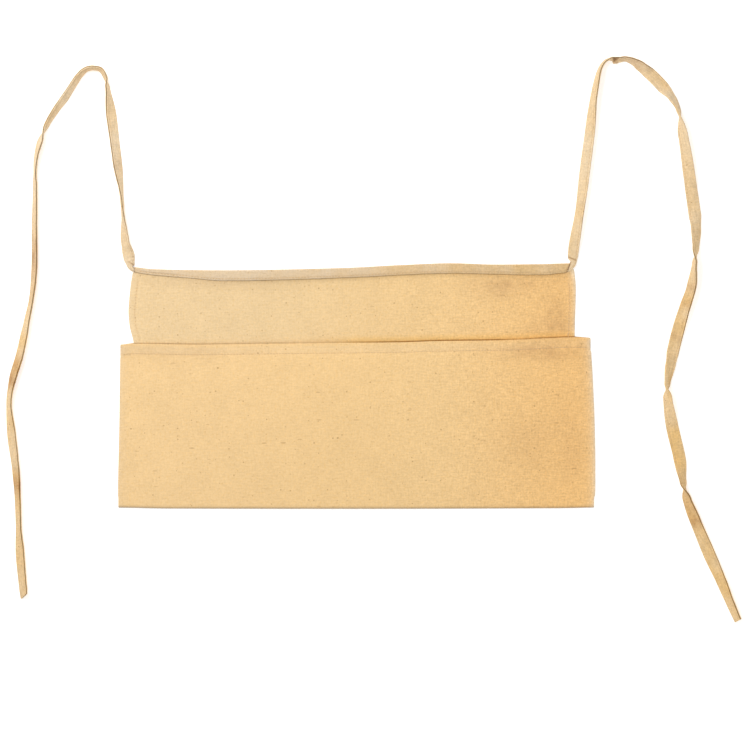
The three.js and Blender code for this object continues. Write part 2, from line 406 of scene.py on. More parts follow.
def make_mesh(name, points, faces, cloth_place=None, tint=None, smooth_angle=50):
    """A mesh object with its cloth coordinates and its tint as attributes."""
    mesh = bpy.data.meshes.new(name)
    mesh.from_pydata(points.tolist(), [], faces)
    if cloth_place is not None:
        mesh.attributes.new("cloth_place", "FLOAT_VECTOR", "POINT").data.foreach_set(
            "vector", np.ascontiguousarray(cloth_place, np.float32).ravel())
    if tint is not None:
        rgba = np.ones((len(points), 4), np.float32)
        rgba[:, :3] = tint
        mesh.attributes.new("tint", "FLOAT_COLOR", "POINT").data.foreach_set("color", rgba.ravel())
    mesh.polygons.foreach_set("use_smooth", np.ones(len(mesh.polygons), bool))
    mesh.set_sharp_from_angle(angle=math.radians(smooth_angle))
    mesh.update()
    made = bpy.data.objects.new(name, mesh)
    bpy.context.scene.collection.objects.link(made)
    return made


def unit(vectors):
    return vectors / np.maximum(np.linalg.norm(vectors, axis=-1, keepdims=True), 1e-12)


def run_along(points, power=1):
    """How far along a line of points each one is, with each gap raised to the power."""
    gaps = np.linalg.norm(np.diff(points, axis=0), axis=1) ** power
    return np.concatenate([[0], np.cumsum(gaps)])


def sheet_mesh(name, centre, place, tint_at):
    """A closed sheet of cloth round a grid of points on its middle: rows upwards, columns to the right."""
    rows, columns = centre.shape[:2]
    normal = unit(np.cross(np.gradient(centre, axis=1), np.gradient(centre, axis=0)))
    high = centre + normal * CLOTH / 2
    low = centre - normal * CLOTH / 2
    points = np.concatenate([low.reshape(-1, 3), high.reshape(-1, 3)])
    index = np.arange(rows * columns).reshape(rows, columns)
    lift = rows * columns
    a, b = index[:-1, :-1].ravel(), index[:-1, 1:].ravel()
    c, d = index[1:, 1:].ravel(), index[1:, :-1].ravel()
    faces = np.concatenate([np.stack([a, b, c, d], 1) + lift, np.stack([a, d, c, b], 1)]).tolist()
    loop = np.concatenate([index[0], index[1:, -1], index[-1, -2::-1], index[-2:0:-1, 0]])
    after = np.roll(loop, -1)
    faces += np.stack([loop, after, after + lift, loop + lift], 1).tolist()
    twice = lambda grid: np.concatenate([grid.reshape(-1, 3)] * 2)
    tint = tint_at(place[..., 0], place[..., 1])
    return make_mesh(name, points, faces, twice(place), twice(tint))


def dressed(made, finish, stands_for=None):
    """A piece with its material, its body and the node that it stands for."""
    made.data.materials.append(finish)
    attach(made, "root")
    if stands_for:
        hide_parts(stands_for)
    return made


def ring_mesh(name, rings, place, tint):
    """A closed solid through rings of matching points, with a flat face at both ends."""
    stations, sides = rings.shape[:2]
    index = np.arange(stations * sides).reshape(stations, sides)
    turned = np.roll(index, -1, axis=1)
    a, b = index[:-1].ravel(), turned[:-1].ravel()
    c, d = turned[1:].ravel(), index[1:].ravel()
    faces = np.stack([a, b, c, d], 1).tolist()
    faces.append(index[0][::-1].tolist())
    faces.append(index[-1].tolist())
    return make_mesh(name, rings.reshape(-1, 3), faces, place.reshape(-1, 3), tint.reshape(-1, 3))


# Finishes

def add_node(tree, kind, inputs=(), **settings):
    """A shader node with its settings. An input takes a number, a colour or another node's socket."""
    made = tree.nodes.new(kind)
    for name, value in settings.items():
        setattr(made, name, value)
    for key, value in dict(inputs).items():
        if isinstance(value, bpy.types.NodeSocket):
            tree.links.new(value, made.inputs[key])
        else:
            made.inputs[key].default_value = value
    return made


def maths(tree, operation, a, b=0.0, clamp=False):
    return add_node(tree, "ShaderNodeMath", {0: a, 1: b}, operation=operation, use_clamp=clamp).outputs[0]


def ramp(tree, value, start, end, low=0.0, high=1.0):
    """Value from start to end turned into low to high, smoothly."""
    inputs = {"Value": value, "From Min": start, "From Max": end, "To Min": low, "To Max": high}
    return add_node(tree, "ShaderNodeMapRange", inputs, interpolation_type="SMOOTHSTEP").outputs["Result"]


def stretched(tree, place, scale, stretch):
    factors = tuple(share * scale for share in stretch)
    return add_node(tree, "ShaderNodeVectorMath", {0: place, 1: factors}, operation="MULTIPLY").outputs[0]


def noise(tree, place, scale, detail, stretch=(1, 1, 1)):
    """Noise from 0 to 1 whose pattern has the given number of features to the metre."""
    at = stretched(tree, place, scale, stretch)
    inputs = {"Vector": at, "Scale": 1.0, "Detail": detail, "Roughness": 0.55}
    return add_node(tree, "ShaderNodeTexNoise", inputs).outputs["Fac"]


def flecks(tree, place, cells, biggest, share, stretch):
    """Seed flecks: spots of differing size in a share of the cells, with so many cells to the metre."""
    inputs = {"Vector": stretched(tree, place, cells, stretch), "Scale": 1.0, "Randomness": 1.0}
    spot = add_node(tree, "ShaderNodeTexVoronoi", inputs)
    chance = add_node(tree, "ShaderNodeSeparateColor", {"Color": spot.outputs["Color"]})
    radius = ramp(tree, chance.outputs["Red"], 1 - share, 1.0, 0.0, biggest * cells)
    inner = maths(tree, "SUBTRACT", radius, spot.outputs["Distance"])
    mask = maths(tree, "DIVIDE", inner, FLECK_SOFTNESS * biggest * cells, clamp=True)
    depth = ramp(tree, chance.outputs["Green"], 0.0, 1.0, PALEST_FLECK, 1.0)
    return maths(tree, "MULTIPLY", mask, depth, clamp=True)


def blend_colour(tree, share, a, b, mode="MIX"):
    inputs = {0: share, 6: a, 7: b}
    return add_node(tree, "ShaderNodeMix", inputs, data_type="RGBA", blend_type=mode).outputs[2]


def relief_on(tree, shader, height, strength, distance):
    inputs = {"Height": height, "Strength": strength, "Distance": distance}
    bump = add_node(tree, "ShaderNodeBump", inputs)
    tree.links.new(bump.outputs["Normal"], shader.inputs["Normal"])


def mesh_value(tree, attribute, output):
    return add_node(tree, "ShaderNodeAttribute", attribute_name=attribute).outputs[output]


def new_material(name, roughness, sheen):
    made = bpy.data.materials.new(name)
    made.use_nodes = True
    shader = made.node_tree.nodes["Principled BSDF"]
    shader.inputs["Roughness"].default_value = roughness
    shader.inputs["Specular IOR Level"].default_value = 0.15
    shader.inputs["Sheen Weight"].default_value = sheen
    shader.inputs["Sheen Roughness"].default_value = 0.6
    return made, made.node_tree, shader


WEAVE_PITCH = 0.68 * MM
FLECK_BROWN = (0.30, 0.16, 0.06, 1)
FLECK_SOFTNESS = 0.25
PALEST_FLECK = 0.35
GOLDEN_TONE = (0.99, 0.95, 0.86, 1)

# Features to the metre: slubs along their thread and across it, the mottle, golden spots and broad clouds
SLUBS_ALONG = 130
SLUBS_ACROSS = 600
MOTTLE_SCALE = 520
GOLDEN_SCALE = 420
CLOUD_SCALE = 38
CLOUD_DEPTH = 0.018
SLUB_DEPTH = 0.042


def canvas_material(name, fleck_share, named_flecks):
    """Plain-woven unbleached cotton: the mesh's tint with slubs, weave, seed flecks and a cloudy tone."""
    made, tree, shader = new_material(name, 0.93, 0.12)
    place = mesh_value(tree, "cloth_place", "Vector")
    tint = mesh_value(tree, "tint", "Color")

    # Threads of uneven thickness, along and across the cloth
    weft = ramp(tree, noise(tree, place, 1.0, 2.0, (SLUBS_ALONG, SLUBS_ACROSS, 1)), 0.25, 0.75, -1.2, 1.2)
    warp = ramp(tree, noise(tree, place, 1.0, 2.0, (SLUBS_ACROSS, SLUBS_ALONG, 1)), 0.25, 0.75, -1, 1)
    mottle = ramp(tree, noise(tree, place, MOTTLE_SCALE, 3.0), 0.25, 0.75, -1.5, 1.5)
    tone = ramp(tree, noise(tree, place, CLOUD_SCALE, 3.0), 0.3, 0.7, -1, 1)
    slubs = maths(tree, "ADD", maths(tree, "ADD", weft, warp), mottle)
    split = add_node(tree, "ShaderNodeSeparateXYZ", {"Vector": place})
    busier = ramp(tree, split.outputs["X"], -0.05, 0.2, 0.8, 1.5)
    uneven = maths(tree, "MULTIPLY", slubs, maths(tree, "MULTIPLY", busier, SLUB_DEPTH))
    cloudy = maths(tree, "MULTIPLY", tone, CLOUD_DEPTH)
    brightness = maths(tree, "ADD", maths(tree, "ADD", uneven, 1.0), cloudy)
    levels = {"Red": brightness, "Green": brightness, "Blue": brightness}
    grey = add_node(tree, "ShaderNodeCombineColor", levels).outputs["Color"]
    colour = blend_colour(tree, 1.0, tint, grey, "MULTIPLY")
    golden = ramp(tree, noise(tree, place, GOLDEN_SCALE, 2.0), 0.45, 0.75, 0.0, 1.0)
    colour = blend_colour(tree, golden, colour, GOLDEN_TONE, "MULTIPLY")

    # Seed flecks, small and many, then a few drawn-out ones
    small = flecks(tree, place, 210.0, 1.0 * MM, fleck_share, (1, 1, 1))
    drawn = flecks(tree, place, 120.0, 1.5 * MM, 0.5 * fleck_share, (0.45, 1.6, 1))
    small = maths(tree, "MULTIPLY", small, 0.50)
    drawn = maths(tree, "MULTIPLY", drawn, 0.38)
    specks = maths(tree, "MAXIMUM", small, drawn)
    if named_flecks:
        for x, y, radius, strength in zip(*FLECKS.values()):
            away = add_node(tree, "ShaderNodeVectorMath", {0: place, 1: (x, y, 0)}, operation="DISTANCE")
            spot = ramp(tree, away.outputs["Value"], 0.4 * radius, radius, strength, 0.0)
            specks = maths(tree, "MAXIMUM", specks, spot)
    colour = blend_colour(tree, specks, colour, FLECK_BROWN)
    tree.links.new(colour, shader.inputs["Base Color"])

    # The weave itself, only as relief: threads passing over and under each other
    waves = [maths(tree, "SINE", maths(tree, "MULTIPLY", split.outputs[axis], math.pi / WEAVE_PITCH))
             for axis in ("X", "Y")]
    checks = maths(tree, "MULTIPLY", *waves)
    relief = maths(tree, "ADD", maths(tree, "MULTIPLY", checks, 0.5), maths(tree, "MULTIPLY", slubs, 0.35))
    relief_on(tree, shader, relief, 0.55, 0.14 * MM)
    return made


def thread_material():
    made, tree, shader = new_material("sewing_thread", 0.8, 0.2)
    place = mesh_value(tree, "cloth_place", "Vector")
    twist = noise(tree, place, 1.0, 1.0, (2600, 900, 900))
    pale = (0.77, 0.56, 0.31, 1)
    dark = (0.60, 0.42, 0.22, 1)
    tree.links.new(blend_colour(tree, twist, dark, pale), shader.inputs["Base Color"])
    relief_on(tree, shader, twist, 0.5, 0.08 * MM)
    return made


def floor_material():
    made, tree, shader = new_material("pale_floor", 0.9, 0.0)
    place = add_node(tree, "ShaderNodeTexCoord").outputs["Object"]
    grain = noise(tree, place, 6.0, 2.0)
    white = blend_colour(tree, grain, (0.90, 0.90, 0.90, 1), (0.92, 0.92, 0.92, 1))
    tree.links.new(white, shader.inputs["Base Color"])
    shader.inputs["Emission Color"].default_value = (1, 1, 1, 1)
    shader.inputs["Emission Strength"].default_value = 0.38
    return made


# Tones of the cloth, from the photograph's broad colours
CANVAS_LEFT = np.array((0.796, 0.553, 0.280))
CANVAS_MIDDLE = np.array((0.798, 0.546, 0.263))
CANVAS_RIGHT = np.array((0.815, 0.500, 0.202))
STRIP_PALE = np.array((0.750, 0.585, 0.385))
STRIP_TAN = np.array((0.730, 0.500, 0.240))
BAND_TONE = np.array((0.90, 0.90, 0.93))

# Tones that the cloth is multiplied by
UNTOUCHED = np.ones(3)
DARKER_PATCH_TONE = np.array((0.74, 0.70, 0.72))
STAIN_AND_SHADE_TONE = np.array((0.62, 0.45, 0.28))
PANEL_TONE = np.array((0.955, 1.01, 1.12))
HEM_TONE = np.array((0.95, 0.97, 1.03))
# Painted highlight on the rolled side edges of the pocket and the panel
RIM_HIGHLIGHT = np.array((1.00, 1.28, 2.10))
# Painted shade along the pocket's bottom fold
FOLD_SHADE = np.array((0.57, 0.59, 0.68))
LINE_TONE = np.array((0.50, 0.38, 0.26))
WARM_TONE = np.array((1.04, 0.96, 0.74))
# Painted shade under the waistband and along the band's lower edge
SEAM_SHADE = np.array((0.82, 0.81, 0.79))
# Painted shade inside the ties' slit
SLIT_SHADE = np.array((0.44, 0.36, 0.30))
# Painted shade along the sharp creases
CREASE_SHADE = np.array((0.55, 0.45, 0.36))

# The line of shade in the pocket's mouth and the warm light above it, from none to full
MOUTH_SHADE = table("x line warmth", [
    (-226, 0.5, 0.1),
    (-160, 0.6, 0.1),
    (-100, 0.5, 0),
    (-30, 0.35, 0.3),
    (12, 0.85, 1),
    (50, 1, 1),
    (140, 1, 1),
    (165, 0.5, 0.9),
    (200, 0.75, 0.9),
    (222, 0.95, 0.9),
])


def mix(a, b, share):
    share = np.asarray(share)[..., None]
    return a * (1 - share) + b * share


def toned(colour, tone, share):
    return colour * mix(UNTOUCHED, tone, np.clip(share, 0, 1))


def crease_at(x, y):
    """How deep a crease is at a place, and how full its shade is there."""
    depth, shade = np.zeros(np.shape(x)), np.zeros(np.shape(x))
    for x0, y0, x1, y1, deepest in zip(*CREASES.values()):
        dx, dy = x1 - x0, y1 - y0
        share = np.clip(((x - x0) * dx + (y - y0) * dy) / (dx**2 + dy**2), 0, 1)
        away = np.hypot(x - x0 - share * dx, y - y0 - share * dy)
        here = bell(away, CREASE_REACH)
        depth = np.maximum(depth, deepest * here)
        shade = np.maximum(shade, here)
    return depth, shade


def canvas_tint(x, y):
    """Pale at the left, yellow in the middle and tan at the right, with soft darker patches on it."""
    colour = mix(CANVAS_LEFT, CANVAS_MIDDLE, ease(-0.22, 0.04, x))
    colour = mix(colour, CANVAS_RIGHT, ease(0.06, 0.24, x))
    broken = 0.75 + 0.35 * cloud(x, y, 0.006, 11) + 0.2 * cloud(x, y, 0.017, 12)
    for sx, sy, wide, high, strength in zip(*DARKER_PATCHES.values()):
        reach = ((x - sx) / wide) ** 2 + ((y - sy) / high) ** 2
        colour = toned(colour, DARKER_PATCH_TONE, strength * np.exp(-reach) * broken)
    return colour * (1 + 0.012 * cloud(x, y, 0.03, 13) + 0.010 * cloud(x, y, 0.012, 14))[..., None]


def pocket_tint(x, y):
    """The pocket's front: greyer on the mouth's hem, with painted highlights on its rolled sides and painted
    shade along the bottom fold.
    """
    left, right = sides_at(POCKET_SIDES, y)
    below = mouth_at(x) - y
    colour = canvas_tint(x, y)
    hem = ease(1.5 * MM, 4 * MM, below) * ease(MOUTH_HEM + 1 * MM, MOUTH_HEM - 2 * MM, below)
    colour = toned(colour, HEM_TONE, hem)
    # Painted highlights along the rolled side edges
    colour = toned(colour, RIM_HIGHLIGHT, fade(right - x, 3.4 * MM))
    colour = toned(colour, RIM_HIGHLIGHT, 0.2 * fade(x - left, 1.8 * MM))
    colour = toned(colour, HEM_TONE, 0.6 * ease(12 * MM, 0, x - left))
    # Painted shade along the bottom fold
    return toned(colour, FOLD_SHADE, bell(np.clip(y - fold_at(x), 0, None), 1.9 * MM))


def panel_tint(x, y):
    """The cloth above the mouth: painted shade along the mouth and under the band, painted warm light just
    above the mouth, and painted highlights and shade on its side hems.
    """
    left, right = sides_at(PANEL_SIDES, y)
    above = y - mouth_at(x)
    colour = toned(canvas_tint(x, y), PANEL_TONE, ease(0.1, -0.1, x))
    # Painted shade in a line along the mouth, and painted warm light above it
    line = read(MOUTH_SHADE, "x", x, "line") ** 2 * ease(1.7 * MM, 0.7 * MM, above)
    warmth = read(MOUTH_SHADE, "x", x, "warmth") * ease(9 * MM, 1 * MM, above)
    colour = toned(toned(colour, WARM_TONE, warmth), LINE_TONE, line)
    # Painted shade under the waistband
    under = band_at(x, "bottom") - y
    shaded = 0.4 + 0.6 * ease(-0.16, -0.05, x)
    colour = toned(colour, SEAM_SHADE, shaded * ease(5.5 * MM, 0, under))
    # Painted highlight on each rolled side edge, painted highlights on the hem's ridges and painted shade in
    # its furrows
    for from_side, strength in ((x - left, 0.15), (right - x, 0.9)):
        colour = toned(colour, RIM_HIGHLIGHT, strength * fade(from_side, 2.8 * MM))
        ridges = sum(bell(from_side - at * MM, 0.55 * MM) for at in (6.6, 8.6))
        furrows = sum(bell(from_side - at * MM, 0.5 * MM) for at in (5.4, 7.6))
        colour = colour * (1 + 0.045 * ridges - 0.03 * furrows)[..., None]
    return colour


# The pocket's front and the panel, as heights over the floor

def gape_at(across, up):
    sideways = np.sin(math.pi * np.clip(across, 0, 1) ** GAPE_LEAN) ** GAPE_FULLNESS
    rising = np.sin((math.pi / 2) * np.clip(up / GAPE_PEAK, 0, 1)) ** GAPE_RISE
    falling = 1 - (1 - MOUTH_GAPE_SHARE) * (np.clip((up - GAPE_PEAK) / (1 - GAPE_PEAK), 0, 1)) ** 2
    return GAPE * sideways * rising * falling


def pocket_front(x, y):
    """The height of the middle of the pocket's front cloth."""
    left, right = sides_at(POCKET_SIDES, y)
    fold, mouth = fold_at(x), mouth_at(x)
    gape = gape_at((x - left) / (right - left), (y - fold) / (mouth - fold))
    below = mouth - y
    gape = gape * (1 - LIP_DIP * ease(LIP_REACH, 0, below))
    inner = np.minimum(np.minimum(x - left, right - x), y - fold)
    waves = 0.45 * MM * cloud(x, y, 0.055, 21) + 0.2 * MM * cloud(x, y, 0.02, 22)
    waves += 0.07 * MM * cloud(x, y * 0.4, 0.005, 23) * ease(26 * MM, 6 * MM, below)
    hem = ease(MOUTH_HEM + 0.8 * MM, MOUTH_HEM - 0.4 * MM, below)
    seat = np.clip(HEM_RISE - gape, 0, HEM_RISE) * hem * ease(0, 4 * MM, inner)
    seam = 0.14 * MM * bell(below - MOUTH_HEM + 0.8 * MM, 0.9 * MM)
    calm = ease(2 * MM, 30 * MM, inner)
    return POCKET_MIDDLE + gape + waves * calm + seat - seam + HEM_THICKENING * hem


def panel_height(x, y):
    """The height of the middle of the back cloth above the mouth: on its side hems, sunk between them."""
    left, right = sides_at(PANEL_SIDES, y)
    mouth, under_band = mouth_at(x), band_at(x, "bottom") - 1 * MM
    up = (y - mouth) / (under_band - mouth)
    from_side = np.minimum(x - left, right - x)
    sink = fade(from_side - SIDE_HEM, HEM_SINK)
    hemmed = ease(1, 0.8, up) * ease(-0.02, 0.01, up)
    lift = ease(0.8, 1, up)
    rise = np.maximum(HEM_RISE * hemmed * sink, lift * (CAD_CLOTH + CAD_GAP))
    waves = 0.5 + 0.5 * cloud(x, y, 0.05, 31) + 0.25 * cloud(x, y, 0.016, 32)
    calm = ease(0, 0.25, up) * ease(1, 0.75, up) * ease(SIDE_HEM, 3 * SIDE_HEM, from_side)
    seam = 0.12 * MM * bell(from_side - SIDE_HEM + 1.6 * MM, 0.8 * MM) * hemmed
    return CAD_CLOTH / 2 + rise + 0.6 * MM * np.clip(waves, 0, 1.6) * calm - seam


# A cloth edge that turns down: how far in from the edge, in millimetres, and how far it has dropped there
TURNED_EDGE = [(0.40, 1.0), (0.40, 0.75), (0.41, 0.5), (0.46, 0.3), (0.58, 0.16), (0.8, 0.07), (1.15, 0.02)]
TURNED_EDGE += [(inset, 0) for inset in (1.6, 2.2, 2.8, 3.4, 4, 4.7, 5.4, 6, 6.6, 7.1, 7.6, 8.1, 8.6, 9.2)]
TURNED_EDGE += [(10, 0)]
EDGE_REACH = 10 * MM
EDGE_FOOT = 0.45 * MM
COLUMN_PITCH = 1.7 * MM
ROW_PITCH = 1.9 * MM
HEM_ROW_PITCH = 0.9 * MM
POCKET_WIDTH = 0.482
POCKET_DEPTH = 0.168
PANEL_WIDTH = 0.48
HEMMED_DEPTH = 14 * MM


def sheet_columns(width):
    """Each column's place across a sheet, and how far it has dropped at a turned edge."""
    inset, drop = np.array(TURNED_EDGE).T
    inset = inset * MM
    count = int(round((width - 2 * EDGE_REACH) / COLUMN_PITCH))
    middle = EDGE_REACH + (width - 2 * EDGE_REACH) * np.arange(1, count) / count
    return (np.concatenate([inset, middle, width - inset[::-1]]),
            np.concatenate([drop, np.zeros(count - 1), drop[::-1]]))


def spread(inset, width, left, right):
    """Columns laid between a row's own edges: true insets near the edges, stretched evenly between them."""
    stretch = (right - left - 2 * EDGE_REACH) / (width - 2 * EDGE_REACH)
    middle = left + EDGE_REACH + (inset - EDGE_REACH) * stretch
    x = np.where(inset < EDGE_REACH, left + inset, middle)
    return np.where(inset > width - EDGE_REACH, right - (width - inset), x)


def pocket_rows():
    """Rows of the pocket's front, from the bottom fold over the mouth into its hem: kind, place and drop."""
    count = int((POCKET_DEPTH - HEMMED_DEPTH - EDGE_REACH) / ROW_PITCH)
    hem_count = int(HEMMED_DEPTH / HEM_ROW_PITCH)
    rows = [("fold", inset * MM, drop) for inset, drop in TURNED_EDGE]
    rows += [("share", k / count, 0) for k in range(1, count + 1)]
    rows += [("below", HEMMED_DEPTH - k * HEM_ROW_PITCH, 0) for k in range(1, hem_count)]
    rows += [("turn", math.radians(angle), 0) for angle in np.linspace(-90, 90, 9)]
    rows += [("inner", depth * MM, 0) for depth in (1.2, 2.4, 4, 6, 8, 9.5, 10.4)]
    return rows


def pocket_cloth(finish):
    """The pocket's front, hemmed inwards along its mouth and turned down round the back cloth elsewhere."""
    inset, side_drop = sheet_columns(POCKET_WIDTH)
    turn = CLOTH / 2 + 0.06 * MM
    points, places = [], []
    for kind, value, drop in pocket_rows():
        guess = {"fold": -0.123, "share": -0.12 + 0.15 * value}.get(kind, 0.045)
        x = spread(inset, POCKET_WIDTH, *sides_at(POCKET_SIDES, guess))
        fold, mouth = fold_at(x), mouth_at(x)
        if kind == "fold":
            y = fold + value
        elif kind == "share":
            y = (fold + EDGE_REACH) * (1 - value) + (mouth - HEMMED_DEPTH) * value
        elif kind == "below":
            y = mouth - value
        else:
            y = mouth - turn - CLOTH / 2
        z = pocket_front(x, y)
        length = y
        if kind == "turn":
            z = z - turn - turn * math.sin(value)
            y = y + turn * math.cos(value)
            length = mouth + turn * (value + math.pi / 2)
        if kind == "inner":
            y = y - value
            z = pocket_front(x, y) - 2 * turn
            length = mouth + math.pi * turn + value
        down = 1 - (1 - side_drop) * (1 - drop)
        z = z * (1 - down) + EDGE_FOOT * down
        points.append(np.stack([x, y, z], 1))
        places.append(np.stack([x, length, 0 * x], 1))
    made = sheet_mesh("pocket_cloth", np.array(points), np.array(places), pocket_tint)
    return dressed(made, finish, "pocket_panel")


def panel_cloth(finish):
    """The back cloth: flat behind the pocket, its sides turned under above it, its top in the band."""
    inset, turned = sheet_columns(PANEL_WIDTH)
    rows = [("behind", share) for share in np.linspace(0, 1, 40)]
    rows += [("above", share) for share in (0.006, 0.012, 0.018, 0.025, 0.035, 0.05)]
    rows += [("above", share) for share in np.linspace(0.07, 1, 38)]
    rows += [("bound", share) for share in np.linspace(0.1, 1, 8)]
    points = []
    for kind, share in rows:
        if kind == "behind":
            left, right = sides_at(POCKET_SIDES, -0.122 + 0.165 * share)
            left += RIM_CLEARANCE - CLOTH / 2
            right -= RIM_CLEARANCE - CLOTH / 2
        else:
            middle_y = {"above": 0.044 + 0.066 * share, "bound": 0.11 + 0.009 * share}[kind]
            left, right = sides_at(PANEL_SIDES, middle_y)
        x = spread(inset, PANEL_WIDTH, left, right)
        mouth, under_band = mouth_at(x), band_at(x, "bottom") - 1 * MM
        top = band_at(x, "top") - RIM_CLEARANCE
        if kind == "behind":
            y = (fold_at(x) + RIM_CLEARANCE) * (1 - share) + mouth * share
            z = np.full_like(x, CAD_CLOTH / 2)
        elif kind == "above":
            y = mouth * (1 - share) + under_band * share
            z = panel_height(x, y) * (1 - turned) + EDGE_FOOT * turned
        else:
            y = under_band * (1 - share) + top * share
            z = panel_height(x, y)
        points.append(np.stack([x, y, z], 1))
    centre = np.array(points)
    made = sheet_mesh("panel_cloth", centre, centre * (1, 1, 0), panel_tint)
    return dressed(made, finish, "body_panel")


def side_hem(name, side, finish):
    """The cloth turned under along one side of the panel above the mouth."""
    y = np.linspace(0.0465, 0.1085, 50)
    edge = read(PANEL_SIDES, "y", y, side)
    inward = 1 if side == "left" else -1
    insets = np.array([0.45, 1.2, 2.5, 4, 5.5, 7, 8.2]) * MM
    ragged = 1 + 0.04 * cloud(y, y * 0, 0.004, 41)
    x = edge[:, None] + inward * insets[None, :] * np.where(insets > 6 * MM, ragged[:, None], 1)
    centre = np.stack([x, np.repeat(y[:, None], len(insets), 1), np.full_like(x, EDGE_FOOT)], -1)
    centre = centre[:, ::inward]
    return dressed(sheet_mesh(name, centre, centre, canvas_tint), finish)


# The waistband

BAND_STITCH_INSET = 2.0 * MM
BAND_TOP = 2 * CAD_CLOTH + BAND_SLOT
BAND_ROUNDING = 1.4 * MM


def arc(across, up, radius, start, end, count):
    """Points of an arc round a centre, from one angle to another in degrees."""
    angles = np.radians(np.linspace(start, end, count))
    return [(across + radius * math.cos(angle), up + radius * math.sin(angle)) for angle in angles]


def band_outline():
    """The band's section: each point's kind, place and height. The place is an inset from the band's lower
    or top edge, or a share of the way between them."""
    wall, high, bend = CAD_CLOTH, BAND_TOP, BAND_ROUNDING
    r = wall / 2
    points = []
    add = lambda at, places: points.extend((at, place, height) for place, height in places)
    add("low", arc(r, r, r, 180, 270, 4))
    add("low", [(inset * MM, 0.0) for inset in (1.6, 2.8)])
    add("top", arc(-bend, bend, bend, 270, 360, 5))
    add("top", arc(-bend, high - bend, bend, 0, 90, 5))
    add("share", [(share, high) for share in (0.8, 0.68, 0.56, 0.45)])
    add("low", [(inset * MM, high) for inset in (3.4, 2.8, 2.4, 2.0, 1.6, 1.2, 0.8)])
    add("low", arc(r, high - r, r, 90, 180, 4))
    add("low", arc(r, high - r, r, 180, 270, 3)[1:])

    # The slot inside the fold, for the cloth's edge
    add("low", [(2.4 * MM, high - wall)])
    add("top", [(-1.5 * MM, high - wall), (-wall, high - wall - 0.4 * MM)])
    add("top", [(-wall, wall + 0.4 * MM), (-1.5 * MM, wall)])
    add("low", [(2.4 * MM, wall)])
    add("low", arc(r, r, r, 90, 180, 3)[:-1])
    return points


def band_face(x, y):
    """How far the band's upper face is off flat: its crown, its stitched groove and its left crease."""
    bottom, top = band_at(x, "bottom"), band_at(x, "top")
    share = np.clip((y - bottom) / (top - bottom), 0, 1)
    crown = 0.25 * MM * np.sin(math.pi * share)
    groove = 0.3 * MM * bell(y - bottom - BAND_STITCH_INSET, 0.7 * MM)
    crease_y = bottom + (top - bottom) * (0.3 + 1.6 * (-0.165 - x))
    crease = 0.45 * MM * bell(y - crease_y, 0.6 * MM)
    crease = crease * ease(-0.225, -0.215, x) * ease(-0.165, -0.19, x)
    waves = 0.22 * MM * cloud(x, y, 0.018, 51) + 0.12 * MM * cloud(x, y * 2, 0.006, 52)
    lip = 0.25 * MM * ease(2.5 * MM, 0, y - bottom)
    return crown - groove - crease + waves * ease(0, 0.2, share) * ease(1, 0.8, share) - lip


BAND_END = 0.2150
BAND_END_SLANT = 3.6 * MM
BAND_STATION = 1.5 * MM


def band_strip(finish):
    """The strip folded round the panel's top edge. It ends on a slant where the right tie turns up."""
    x = np.arange(BAND["x"][0], BAND_END, BAND_STATION)
    bottom, top = band_at(x, "bottom"), band_at(x, "top")
    ragged = 0.18 * MM * cloud(x, x * 0, 0.007, 53) + 0.1 * MM * cloud(x, x * 0, 0.002, 54)
    slanted = BAND_END_SLANT * ease(BAND_END - 8 * MM, BAND_END, x)
    rings, places = [], []
    for at, offset, z in band_outline():
        low, part = bottom + ragged + offset, bottom + (top - bottom) * offset
        y = {"low": low, "top": top + offset, "share": part}[at]
        height = z + band_face(x, y) * ease(BAND_TOP - 1.3 * MM, BAND_TOP - 0.4 * MM, z)
        slant = slanted * ((y - bottom) / (top - bottom) - 0.5)
        rings.append(np.stack([x + slant, y, height], 1))
        places.append(np.stack([x, y + 0.3 * z, 0 * x], 1))
    rings, places = np.stack(rings, 1), np.stack(places, 1)
    px, py = places[..., 0], places[..., 1]
    tan_share = 0.15 + 0.75 * ease(-0.1, 0.2, px) + 0.25 * cloud(px, py, 0.013, 55)
    tint = mix(STRIP_PALE, STRIP_TAN, tan_share) * BAND_TONE
    # Painted shade along the band's lower edge
    lower = np.clip(rings[..., 1] - bottom[:, None], 0, None)
    tint = toned(tint, SEAM_SHADE, ease(1.6 * MM, 0, lower))
    # Painted shade along the creases at the band's corners
    _, creased = crease_at(rings[..., 0], rings[..., 1])
    tint = toned(tint, CREASE_SHADE, 0.7 * creased)
    return dressed(ring_mesh("band_strip", rings, places, tint), finish, "waistband")


# The ties

TIE_STATION = 0.8 * MM
CUT_REACH = 12 * MM
TIE_CLEARANCE = 0.03 * MM


def between(a, b, start, end, at):
    """The point between two points that belongs to a place between their places."""
    return a + (b - a) * (at - start) / (end - start)


def smooth_route(rows, steps=40):
    """A smooth curve through a route's rows, finely divided: each point with its place among the rows."""
    points = np.stack([rows["x"], rows["y"]], 1)
    ends = np.vstack([2 * points[0] - points[1], points, 2 * points[-1] - points[-2]])
    shares = np.linspace(0, 1, steps, endpoint=False)
    curve, places = [], []
    for i in range(len(points) - 1):
        p = ends[i:i + 4]
        knot = run_along(p, 0.5)
        at = (knot[1] + shares * (knot[2] - knot[1]))[:, None]
        before, here, after = (between(p[k], p[k + 1], knot[k], knot[k + 1], at) for k in range(3))
        early = between(before, here, knot[0], knot[2], at)
        late = between(here, after, knot[1], knot[3], at)
        curve.append(between(early, late, knot[1], knot[2], at))
        places.append(i + shares)
    return np.vstack([*curve, points[-1:]]), np.append(np.concatenate(places), len(points) - 1)


